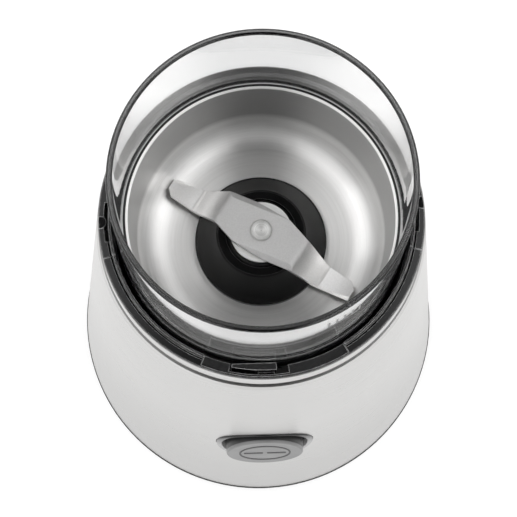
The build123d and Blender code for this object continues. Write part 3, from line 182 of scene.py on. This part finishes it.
class Look(Graph):
    """A procedural material: a Principled shader with its colour, roughness and bump from noise."""

    def __init__(self, name, **sockets):
        self.material = bpy.data.materials.new(name)
        self.material.use_nodes = True
        super().__init__(self.material.node_tree)
        self.shader = self.nodes["Principled BSDF"]
        self.normal = None
        for socket, value in sockets.items():
            self.shader.inputs[socket.replace("_", " ")].default_value = value

    def position(self):
        """The point that is shaded, in metres."""
        return self.node("ShaderNodeTexCoord").outputs["Object"]

    def joined(self, **axes):
        """A vector from its X, Y and Z; one that is not given is 0."""
        made = self.node("ShaderNodeCombineXYZ")
        for axis, value in axes.items():
            self.link(value, made.inputs[axis])
        return made.outputs["Vector"]

    def polar(self):
        """Distance from the object's axis, and height, in metres."""
        x, y, height = self.axes(self.position())
        radius = self.node("ShaderNodeVectorMath", operation="LENGTH")
        self.link(self.joined(X=x, Y=y), radius.inputs[0])
        return radius.outputs["Value"], height

    def turned(self, along, across):
        """Coordinates that run slowly round the axis and fast outwards and upwards, for turned metal."""
        x, y, _ = self.axes(self.position())
        reach = self.maths("ADD", *self.polar())
        mapping = self.node("ShaderNodeMapping")
        mapping.inputs["Scale"].default_value = (along, along, across)
        self.link(self.joined(X=x, Y=y, Z=reach), mapping.inputs["Vector"])
        return mapping.outputs["Vector"]

    def noise(self, vector, scale=1.0, detail=4.0, rough=0.6):
        made = self.node("ShaderNodeTexNoise")
        for socket, number in (("Scale", scale), ("Detail", detail), ("Roughness", rough)):
            made.inputs[socket].default_value = number
        self.link(vector, made.inputs["Vector"])
        return made.outputs["Fac"]

    def bands(self, scale, distortion):
        """Waves stacked along the object's axis."""
        made = self.node("ShaderNodeTexWave", wave_type="BANDS", bands_direction="Z")
        made.inputs["Scale"].default_value = scale
        made.inputs["Distortion"].default_value = distortion
        self.link(self.position(), made.inputs["Vector"])
        return made.outputs["Fac"]

    def cloud(self):
        """Wide soft patches."""
        return self.noise(self.position(), scale=90.0, detail=2.0)

    def colour(self, value, low, high, start=0.3, end=0.7):
        """The base colour goes from low to high as the value goes from start to end."""
        ramp = self.node("ShaderNodeValToRGB")
        for stop, place, shade in zip(ramp.color_ramp.elements, (start, end), (low, high)):
            stop.position = place
            stop.color = (*shade, 1)
        self.link(value, ramp.inputs["Fac"])
        self.link(ramp.outputs["Color"], self.shader.inputs["Base Color"])

    def drive(self, socket, value, low, high, start=0.3, end=0.7):
        """A socket of the shader goes from low to high as the value goes from start to end."""
        self.link(self.spread(value, low, high, start, end), self.shader.inputs[socket])

    def dimmed(self, zone, share):
        """The base colour times share where zone is 1, and as it was where it is 0."""
        source = self.shader.inputs["Base Color"].links[0].from_socket
        scale = self.node("ShaderNodeVectorMath", operation="SCALE")
        self.link(source, scale.inputs[0])
        self.link(self.spread(zone, 1.0, share, 0.0, 1.0), scale.inputs["Scale"])
        self.link(scale.outputs["Vector"], self.shader.inputs["Base Color"])

    def painted_edge_highlights(self, radius, shade):
        """A painted highlight: a paler, slightly broken line along moulded edges."""
        edge = self.node("ShaderNodeBevel", samples=bevel_samples)
        edge.inputs["Radius"].default_value = radius
        flat = self.node("ShaderNodeNewGeometry")
        facing = self.node("ShaderNodeVectorMath", operation="DOT_PRODUCT")
        self.link(edge.outputs["Normal"], facing.inputs[0])
        self.link(flat.outputs["Normal"], facing.inputs[1])
        line = self.spread(facing.outputs["Value"], 1.0, 0.0, *highlight_turn)
        patchy = self.spread(self.noise(self.position(), scale=highlight_patch_scale), highlight_least, 1.0)
        blend = self.node("ShaderNodeMix", data_type="RGBA")
        self.link(self.maths("MULTIPLY", line, patchy), blend.inputs["Factor"])
        self.link(self.shader.inputs["Base Color"].links[0].from_socket, blend.inputs["A"])
        blend.inputs["B"].default_value = (*shade, 1)
        self.link(blend.outputs["Result"], self.shader.inputs["Base Color"])

    def soft_edges(self, radius):
        """Light caught along edges, as if each were rounded by this radius. It comes before any bump."""
        made = self.node("ShaderNodeBevel", samples=bevel_samples)
        made.inputs["Radius"].default_value = radius
        self.normal = made.outputs["Normal"]
        self.link(self.normal, self.shader.inputs["Normal"])

    def bump(self, value, strength, distance):
        """Relief from the value, on top of the soft edges and any relief before it."""
        made = self.node("ShaderNodeBump")
        made.inputs["Strength"].default_value = strength
        made.inputs["Distance"].default_value = distance
        self.link(value, made.inputs["Height"])
        if self.normal is not None:
            self.link(self.normal, made.inputs["Normal"])
        self.normal = made.outputs["Normal"]
        self.link(self.normal, self.shader.inputs["Normal"])

    def grooves(self, amount):
        """Reflections drawn out across the turning marks."""
        self.shader.inputs["Anisotropic"].default_value = amount
        self.shader.inputs["Anisotropic Rotation"].default_value = across_grooves
        tangent = self.node("ShaderNodeTangent", direction_type="RADIAL", axis="Z")
        self.link(tangent.outputs["Tangent"], self.shader.inputs["Tangent"])

    def moulded_surface(self, rough_low, rough_high):
        """The surface of moulded plastic or rubber: cloudy roughness and a fine grain."""
        self.drive("Roughness", self.cloud(), rough_low, rough_high)
        grain = self.noise(self.position(), scale=1500.0, detail=3.0)
        self.bump(grain, strength=0.1, distance=plastic_relief)


# ---- metals ---------------------------------------------------------------------------------
def brushed_steel():
    """Brushed round the body, with painted shade that makes it a little darker low down."""
    look = Look("brushed_steel", Metallic=1.0)
    lines = look.noise(look.turned(along=22, across=1800), detail=5.0)
    look.colour(lines, (0.56, 0.556, 0.548), (0.62, 0.616, 0.608))
    look.drive("Roughness", lines, 0.26, 0.36)
    # painted shade: the colour is darkened towards the bottom of the shell
    low = look.spread(look.polar()[1], 1.0, 0.0, shade_full * mm, shade_start * mm)
    look.dimmed(low, shell_painted_shade)
    look.bump(lines, strength=0.06, distance=steel_relief)
    look.grooves(0.6)
    return look.material


def cup_steel():
    """Spun, with fine circular lines; the wall's colour is painted darker than the floor and the rim, as
    painted shade.
    """
    look = Look("cup_steel", Metallic=1.0)
    lines = look.noise(look.turned(along=30, across=1700), detail=5.0)
    look.colour(lines, (0.86, 0.855, 0.845), (0.96, 0.955, 0.945))
    height = look.polar()[1]
    # painted shade: the wall's colour is darkened between these heights
    above = look.spread(height, 0.0, 1.0, cup_wall_start * mm, cup_wall_full * mm)
    below = look.spread(height, 1.0, 0.0, cup_rim_start * mm, cup_rim_full * mm)
    look.dimmed(look.maths("MULTIPLY", above, below), cup_wall_painted_shade)
    look.drive("Roughness", lines, 0.30, 0.40)
    look.bump(lines, strength=0.12, distance=steel_relief)
    look.grooves(0.95)
    return look.material


def blade_steel():
    """Blasted and rougher in the middle, where its colour is also painted darker as painted shade; the wings
    are ground, so they lean outwards a little and shine more.
    """
    look = Look("blade_steel", Metallic=1.0)
    grain = look.noise(look.position(), scale=2600.0, detail=3.0)
    look.colour(grain, (0.91, 0.905, 0.90), (1.0, 0.995, 0.99))
    radius = look.polar()[0]
    # painted shade: the middle's colour is darkened, the wings' is not
    plate = look.spread(radius, 1.0, 0.0, plate_r * mm, wing_r * mm)
    look.dimmed(plate, plate_painted_shade)
    look.drive("Metallic", plate, wing_metal, 1.0, 0.0, 1.0)
    look.drive("Roughness", plate, wing_rough, plate_rough, 0.0, 1.0)
    look.soft_edges(soft_edge)
    grind = look.spread(radius, 0.0, -grind_drop * mm, grind_r * mm, tip_r * mm)
    look.bump(grind, strength=1.0, distance=1.0)
    look.bump(grain, strength=0.5, distance=steel_relief)
    return look.material


def disc_steel():
    """The hub's bright turned disc."""
    look = Look("disc_steel", Metallic=1.0)
    marks = look.noise(look.turned(along=40, across=2600))
    look.colour(marks, (0.80, 0.80, 0.79), (0.92, 0.92, 0.91))
    look.drive("Roughness", marks, 0.50, 0.60)
    look.soft_edges(soft_edge)
    look.bump(marks, strength=0.15, distance=steel_relief)
    return look.material


def machined(name, low, high, rough_low, rough_high):
    """Metal with turning marks round the object's axis."""
    look = Look(name, Metallic=1.0)
    marks = look.noise(look.turned(along=60, across=3000))
    look.colour(marks, low, high)
    look.drive("Roughness", marks, rough_low, rough_high)
    look.bump(marks, strength=0.2, distance=machined_relief)
    return look.material


def banded(name, scale, distortion, low, high, end, rough, relief, depth):
    """Metal in thin layers along the object's axis, dark in the gaps between them."""
    look = Look(name, Metallic=1.0)
    layers = look.bands(scale, distortion)
    look.colour(layers, low, high, 0.1, end)
    look.drive("Roughness", layers, *rough)
    look.bump(layers, relief, depth)
    return look.material


def coiled_wire():
    return banded("copper", 500.0, 0.6, (0.28, 0.09, 0.03), (0.72, 0.32, 0.14),
                  end=0.7, rough=(0.3, 0.45), relief=0.6, depth=0.0002)


def laminated_iron():
    return banded("laminated_iron", 320.0, 0.0, (0.14, 0.14, 0.15), (0.34, 0.34, 0.35),
                  end=0.6, rough=(0.4, 0.6), relief=0.5, depth=0.0001)


# ---- plastics and rubber --------------------------------------------------------------------
def grey(level):
    """A colour without a tint."""
    return (level, level, level)


def moulded(name, low, high, rough_low, rough_high, edge=soft_edge, edge_highlight=None, **sockets):
    """Moulded plastic or rubber with softly rounded edges, which may carry a painted highlight in a paler
    colour.
    """
    look = Look(name, **sockets)
    look.colour(look.cloud(), low, high)
    look.soft_edges(edge)
    if edge_highlight:
        look.painted_edge_highlights(edge, edge_highlight)
    look.moulded_surface(rough_low, rough_high)
    return look.material


def shaded(name, axis, places, dark, light):
    """Moulded plastic with painted shade, going from dark to light between two places along an axis through
    the button.
    """
    look = Look(name)
    along = look.node("ShaderNodeVectorMath", operation="DOT_PRODUCT")
    along.inputs[1].default_value = axis
    look.link(look.position(), along.inputs[0])
    start, end = ((axis.dot(button_centre) + place) * mm for place in places)
    look.colour(look.spread(along.outputs["Value"], 0.0, 1.0, start, end), dark, light, 0.0, 1.0)
    look.soft_edges(button_edge)
    look.moulded_surface(0.32, 0.42)
    return look.material


def seal_rubber():
    """A seal with a black inner edge and a pale lip against the collar, the pale lip being a painted
    highlight.
    """
    look = Look("seal_rubber")
    # painted highlight: the seal's outer band is pale
    lip = look.spread(look.polar()[0], 0.0, 1.0, seal_dark_r * mm, seal_highlight_r * mm)
    look.colour(lip, grey(0.008), grey(0.62), 0.0, 1.0)
    look.moulded_surface(0.5, 0.65)
    return look.material


def clear_plastic():
    """Polished clear plastic with a painted highlight: a pale line along the middle of its rim, strongest at
    the back, where less light passes through.
    """
    look = Look("clear_plastic", IOR=1.5)
    scuffs = look.noise(look.position(), scale=260.0, detail=5.0)
    look.colour(scuffs, (0.985, 0.988, 0.988), (0.995, 0.996, 0.996))
    look.drive("Roughness", scuffs, 0.0, 0.02)
    radius, height = look.polar()
    rim_middle = (collar_rim_r - collar_wall / 2) * mm
    # painted highlight: a pale line along the rim's middle, where the plastic lets less light through
    offset = look.maths("ABSOLUTE", look.maths("SUBTRACT", radius, rim_middle))
    glint_line = look.spread(offset, rim_glint_strength, 0.0, rim_line[0] * mm, rim_line[1] * mm)
    start, full = ((collar_rim_z - depth) * mm for depth in rim_depth)
    top = look.spread(height, 0.0, 1.0, start, full)
    y = look.axes(look.position())[1]
    rear = look.spread(y, rim_front_share, 1.0, -rim_fade * mm, rim_fade * mm)
    rim_glint = look.maths("MULTIPLY", look.maths("MULTIPLY", glint_line, top), rear)
    look.drive("Transmission Weight", rim_glint, 1.0, 0.0, 0.0, 1.0)
    return look.material


materials = {
    "brushed_steel": brushed_steel(),
    "cup_steel": cup_steel(),
    "blade_steel": blade_steel(),
    "disc_steel": disc_steel(),
    "shaft_steel": machined("shaft_steel", (0.42, 0.42, 0.41), (0.90, 0.90, 0.89), 0.48, 0.58),
    "machined_steel": machined("machined_steel", (0.48, 0.48, 0.49), (0.62, 0.62, 0.63), 0.22, 0.38),
    "bronze": machined("bronze", (0.50, 0.31, 0.14), (0.66, 0.43, 0.22), 0.3, 0.45),
    "laminated_iron": laminated_iron(),
    "copper": coiled_wire(),
    "clear_plastic": clear_plastic(),
    "seal_rubber": seal_rubber(),
    "black_rubber": moulded("black_rubber", grey(0.008), grey(0.016), 0.55, 0.7),
    "black_plastic": moulded("black_plastic", (0.004, 0.004, 0.0042), (0.007, 0.007, 0.0073), 0.28, 0.38),
    # painted highlights: pale lines along the boss's and the ring's edges
    "boss_plastic": moulded("boss_plastic", (0.004, 0.004, 0.0042), (0.006, 0.006, 0.0062), 0.14, 0.22,
                            edge_highlight=grey(0.30), Specular_IOR_Level=0.22),
    "ring_plastic": moulded("ring_plastic", (0.006, 0.006, 0.0062), (0.010, 0.010, 0.0104), 0.14, 0.22,
                            edge=ring_edge, edge_highlight=grey(1.0), Specular_IOR_Level=0.35),
    "switch_plastic": moulded("switch_plastic", (0.50, 0.49, 0.46), (0.58, 0.57, 0.54), 0.4, 0.5),
    "coupling_plastic": moulded("coupling_plastic", grey(0.05), grey(0.07), 0.4, 0.5),
    "carbon": moulded("carbon", (0.02, 0.02, 0.022), (0.045, 0.045, 0.05), 0.5, 0.65),
    # painted shade: the button's side is dark in its recess, its face grey
    "button_face": shaded("button_face", button_out, [-depth for depth in button_side_shade],
                          grey(0.02), grey(0.18)),
    # painted shade: the bezel is dark at the top and light at its tips
    "button_frame": shaded("button_frame", button_up, bezel_painted_shade, grey(0.012), grey(0.38)),
    "symbol_ink": moulded("symbol_ink", (0.035, 0.035, 0.036), (0.05, 0.05, 0.052), 0.45, 0.6),
    "mark_ink": moulded("mark_ink", grey(0.26), grey(0.34), 0.6, 0.75),
}

# CAD nodes whose finish is a variant of their slot's own.
own_finish = {
    "button_cap": "button_face",
    "button_bezel": "button_frame",
    "hub_boss": "boss_plastic",
    "hub_disc": "disc_steel",
    "blade_shaft": "shaft_steel",
    "cup_seal": "seal_rubber",
}


def dress_nodes():
    """Each CAD node takes its own finish or, without one, that of its slot in the record."""
    for name, node in nodes.items():
        for index, material in enumerate(node.data.materials):
            finish = own_finish.get(name, material.name.split(".")[0])
            node.material_slots[index].material = materials[finish]


# ---- springs, mm ----------------------------------------------------------------------------
button_coil = (3.571, 0.35, 4)                   # middle radius, wire radius and turns
key_coil = (1.367, 0.25, 3)
coil_steps = 40                                  # along each turn
wire_sides = 12
wire_sharp = 60                                  # degrees, so that only the wire's ends keep an edge


def coil_mesh(coil, start, end, centre, axis):
    """A round wire that winds about the axis from start to end, closed at both ends."""
    radius, wire, turns = coil
    third = axis.cross(across)
    bm = bmesh.new()
    loops = []
    count = coil_steps * turns
    for k in range(count + 1):
        angle = 2 * math.pi * k / coil_steps
        out = across * math.cos(angle) + third * math.sin(angle)
        middle = centre + axis * (start + (end - start) * k / count) + out * radius
        loop = []
        for j in range(wire_sides):
            turn = 2 * math.pi * j / wire_sides
            loop.append(bm.verts.new((middle + (out * math.cos(turn) + axis * math.sin(turn)) * wire) * mm))
        loops.append(loop)
    for k in range(count):
        for j in range(wire_sides):
            n = (j + 1) % wire_sides
            bm.faces.new((loops[k][j], loops[k][n], loops[k + 1][n], loops[k + 1][j]))
    bm.faces.new(loops[0][::-1])
    bm.faces.new(loops[-1])
    return bm


def spring(name, node, coil, centre, axis):
    """A wire coil in a CAD spring's place, from its fixed end to its moving end."""
    along = [(vertex.co / mm - centre).dot(axis) for vertex in nodes[node].data.vertices]
    fixed_end, moving_end = min(along), max(along)
    wire = coil[1]
    bm = coil_mesh(coil, fixed_end + wire, moving_end - wire, centre, axis)
    piece = add_mesh(name, bm, "base", materials["machined_steel"], wire_sharp)
    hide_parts(node)
    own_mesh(piece)


def springs():
    spring("button_coil", "button_spring", button_coil, button_seat, button_out)
    spring("interlock_coil", "interlock_spring", key_coil, key_axis, straight_up)


# ---- printed marks, mm ----------------------------------------------------------------------
symbol_r = 7.1
symbol_bore = (6.65, 6.15)      # the ring's opening, half its width and half its height
symbol_bar = (0.6, 5.8)         # each half of the bar, from its inner to its outer end
symbol_line = 1.1
symbol_proud = 0.08
symbol_steps = 96               # round the ring
mark_start, mark_end = 293.0, 307.0              # degrees round the collar
mark_z = 152.5
mark_line = 1.0
mark_steps = 24                 # along the line
mark_tick = 4.5                 # a tick's height above the line
mark_ticks = 5
mark_tick_width = 0.5
mark_proud = 0.04


def bar(bm, corners, lift):
    """A thin closed plate between four corners and the same corners moved by lift."""
    low = [bm.verts.new(corner * mm) for corner in corners]
    high = [bm.verts.new((corner + lift) * mm) for corner in corners]
    bm.faces.new(low[::-1])
    bm.faces.new(high)
    for k in range(4):
        n = (k + 1) % 4
        bm.faces.new((low[k], low[n], high[n], high[k]))


def button_symbol():
    """A plain ring round a broken bar, printed on the button's face."""
    lift = button_out * symbol_proud
    bm = bmesh.new()
    outer = (symbol_r, symbol_r)
    loops = []
    for (wide, high), height in ((symbol_bore, 0), (outer, 0), (outer, 1), (symbol_bore, 1)):
        loop = []
        for k in range(symbol_steps):
            angle = 2 * math.pi * k / symbol_steps
            flat = across * (wide * math.cos(angle)) + button_up * (high * math.sin(angle))
            loop.append(bm.verts.new((button_centre + flat + lift * height) * mm))
        loops.append(loop)
    for i in range(4):
        for k in range(symbol_steps):
            n = (k + 1) % symbol_steps
            bm.faces.new((loops[i - 1][k], loops[i - 1][n], loops[i][n], loops[i][k]))
    half = symbol_line / 2
    for side in (-1, 1):
        near, far = symbol_bar[0] * side, symbol_bar[1] * side
        corners = [button_centre + across * x + button_up * y
                   for x, y in ((near, -half), (far, -half), (far, half), (near, half))]
        bar(bm, corners, lift)
    add_mesh("button_symbol", bm, "button", materials["symbol_ink"])


def on_collar(angle, z, proud=0):
    """A point at an angle and height on the clear collar's outside, or proud of it."""
    share = (z - collar_foot_z) / (collar_rim_z - collar_foot_z)
    radius = collar_foot_r + (collar_rim_r - collar_foot_r) * share + proud
    turn = math.radians(angle)
    return Vector((radius * math.cos(turn), radius * math.sin(turn), z))


def collar_strip(bm, start, end, low, high, steps):
    """A thin strip printed on the collar between two angles and two heights."""
    for k in range(steps):
        a = start + (end - start) * k / steps
        b = start + (end - start) * (k + 1) / steps
        corners = [on_collar(a, low), on_collar(b, low), on_collar(b, high), on_collar(a, high)]
        middle = (a + b) / 2
        bar(bm, corners, on_collar(middle, low, mark_proud) - on_collar(middle, low))


def fill_mark():
    """A grey line with short ticks on the collar, as a plain mark for the largest filling."""
    bm = bmesh.new()
    top = mark_z + mark_line
    collar_strip(bm, mark_start, mark_end, mark_z, top, mark_steps)
    tick_turn = math.degrees(mark_tick_width / collar_foot_r)
    for k in range(mark_ticks):
        angle = mark_start + (mark_end - mark_start - tick_turn) * k / (mark_ticks - 1)
        collar_strip(bm, angle, angle + tick_turn, top, top + mark_tick, 1)
    bmesh.ops.remove_doubles(bm, verts=bm.verts, dist=mark_proud * mm / 4)
    add_mesh("fill_mark", bm, "bowl", materials["mark_ink"])


# ---- floor and light ------------------------------------------------------------------------
floor_side = 4.0        # metres
floor_lit = 0.9         # the floor's colour as it lights the object
floor_seen = 0.25       # its colour as it shows the light and shadow that fall on it
floor_glow = 0.80       # the white that it shows besides


def make_floor():
    """A white floor that keeps the object's shadow."""
    bm = bmesh.new()
    half = floor_side / 2
    corners = [bm.verts.new((x * half, y * half, 0)) for x, y in ((-1, -1), (1, -1), (1, 1), (-1, 1))]
    bm.faces.new(corners)
    mesh = bpy.data.meshes.new("floor")
    bm.to_mesh(mesh)
    bm.free()
    floor = bpy.data.objects.new("floor", mesh)
    bpy.context.scene.collection.objects.link(floor)
    look = Look("floor_white", Roughness=0.9)
    path = look.node("ShaderNodeLightPath").outputs
    seen = look.maths("MAXIMUM", path["Is Camera Ray"], path["Is Transmission Ray"])
    shown = look.maths("MAXIMUM", seen, path["Is Glossy Ray"])
    look.colour(shown, grey(floor_lit), grey(floor_seen), 0.0, 1.0)
    look.shader.inputs["Emission Color"].default_value = (1, 1, 1, 1)
    look.drive("Emission Strength", shown, 0.0, floor_glow, 0.0, 1.0)
    mesh.materials.append(look.material)


# The studio's light by direction: bright to the left and right, softer far out to each side and
# behind, dark overhead and in front where the camera stands, and pale along the horizon.
# Starts and ends are parts of a direction of length 1: to the side, to the rear, or up.
studio_dark = 0.06
studio_side = 1.75
side_start, side_end = 0.14, 0.40
studio_low = 0.5                # the share of the side light that is left far out to each side
low_start, low_end = 0.65, 0.85
studio_rear = 0.85
rear_start, rear_end = 0.40, 0.75
studio_horizon = 0.55
horizon_start, horizon_end = 0.10, 0.38


def make_world():
    """The studio's light, with plain white where the background itself is seen."""
    world = bpy.data.worlds.new("studio")
    bpy.context.scene.world = world
    world.use_nodes = True
    graph = Graph(world.node_tree)

    def ramp(value, low, high, start, end):
        return graph.spread(value, low, high, start, end, "SMOOTHSTEP")

    x, y, z = graph.axes(graph.node("ShaderNodeTexCoord").outputs["Generated"])
    sideways = graph.maths("ABSOLUTE", x)
    side = graph.maths("MULTIPLY", ramp(sideways, 0.0, studio_side, side_start, side_end),
                       ramp(sideways, 1.0, studio_low, low_start, low_end))
    rear = ramp(y, 0.0, studio_rear, rear_start, rear_end)
    horizon = ramp(z, studio_horizon, 0.0, horizon_start, horizon_end)
    brightest = graph.maths("MAXIMUM", graph.maths("MAXIMUM", side, rear), horizon)
    background = graph.nodes["Background"]
    background.inputs["Color"].default_value = (1, 1, 1, 1)
    graph.link(graph.maths("ADD", brightest, studio_dark), background.inputs["Strength"])
    white = graph.node("ShaderNodeBackground")
    white.inputs["Color"].default_value = (1, 1, 1, 1)
    path = graph.node("ShaderNodeLightPath").outputs
    seen = graph.maths("MAXIMUM", path["Is Camera Ray"], path["Is Transmission Ray"])
    mix = graph.node("ShaderNodeMixShader")
    graph.link(seen, mix.inputs["Fac"])
    graph.link(background.outputs["Background"], mix.inputs[1])
    graph.link(white.outputs["Background"], mix.inputs[2])
    graph.link(mix.outputs["Shader"], graph.nodes["World Output"].inputs["Surface"])


softbox_side = 0.7              # metres
softbox_watts = 1.5
softbox_place = Vector((0.9, 0.1, 0.75))         # the right-hand one; the other is its mirror image
softbox_aim = Vector((0, 0, 0.1))


def softbox(name, place):
    """A square area lamp at a place, facing the bowl."""
    data = bpy.data.lights.new(name, "AREA")
    data.shape = "RECTANGLE"
    data.size = softbox_side
    data.size_y = softbox_side
    data.energy = softbox_watts
    lamp = bpy.data.objects.new(name, data)
    bpy.context.scene.collection.objects.link(lamp)
    lamp.location = place
    lamp.rotation_mode = "QUATERNION"
    lamp.rotation_quaternion = (softbox_aim - place).to_track_quat("-Z", "Y")


def make_light():
    make_world()
    softbox("left_softbox", softbox_place * Vector((-1, 1, 1)))
    softbox("right_softbox", softbox_place)


# ---- the scene ------------------------------------------------------------------------------
make_camera()
dress_nodes()
springs()
button_symbol()
fill_mark()
make_floor()
make_light()
bpy.context.scene.view_settings.view_transform = "Standard"
